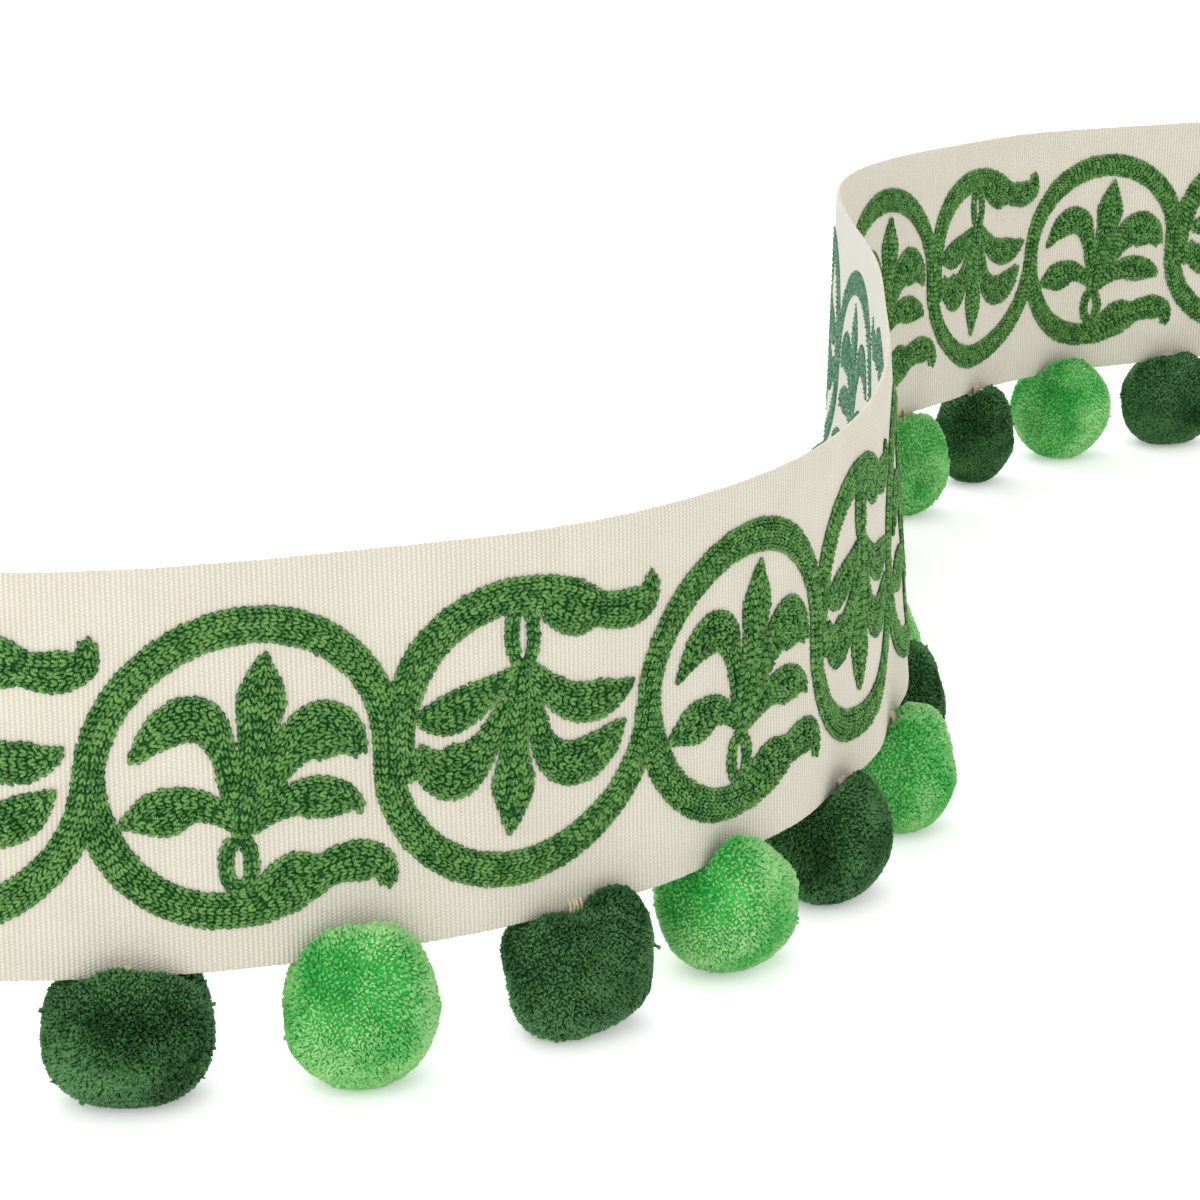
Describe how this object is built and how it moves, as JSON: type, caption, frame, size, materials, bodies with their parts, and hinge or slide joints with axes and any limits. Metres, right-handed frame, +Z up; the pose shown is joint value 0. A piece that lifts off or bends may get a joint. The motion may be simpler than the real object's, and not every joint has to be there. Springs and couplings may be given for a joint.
{
  "type": "pompom braid",
  "caption": "Cut length of embroidered woven tape standing on edge in a soft S, with round cut-pile pompoms sewn along its lower edge.",
  "frame": {"origin": "on the surface the pompoms rest on, at the middle of the box of the whole trim", "axes": "+Z up, +Y away from the front view along the longer way of the S, +X to the right in the front view"},
  "size_m": [0.3626, 0.5018, 0.1064],
  "materials": {
    "tape": "matt ribbed cotton",
    "embroidery": "chain-stitched yarn, slight lustre",
    "pom_bright": "velvety cut pile",
    "pom_dark": "velvety cut pile",
    "tie": "matt thread"
  },
  "bodies": {
    "root": {"tape": "tape", "tie_01": "tie", "pompom_01": "pom_bright", "tie_02": "tie", "pompom_02": "pom_dark", "tie_03": "tie", "pompom_03": "pom_bright", "tie_04": "tie", "pompom_04": "pom_dark", "tie_05": "tie", "pompom_05": "pom_bright", "tie_06": "tie", "pompom_06": "pom_dark", "tie_07": "tie", "pompom_07": "pom_bright", "tie_08": "tie", "pompom_08": "pom_dark", "tie_09": "tie", "pompom_09": "pom_bright", "tie_10": "tie", "pompom_10": "pom_dark", "tie_11": "tie", "pompom_11": "pom_bright", "tie_12": "tie", "pompom_12": "pom_dark", "tie_13": "tie", "pompom_13": "pom_bright", "tie_14": "tie", "pompom_14": "pom_dark", "tie_15": "tie", "pompom_15": "pom_bright", "tie_16": "tie", "pompom_16": "pom_dark"}
  },
  "joints": []
}
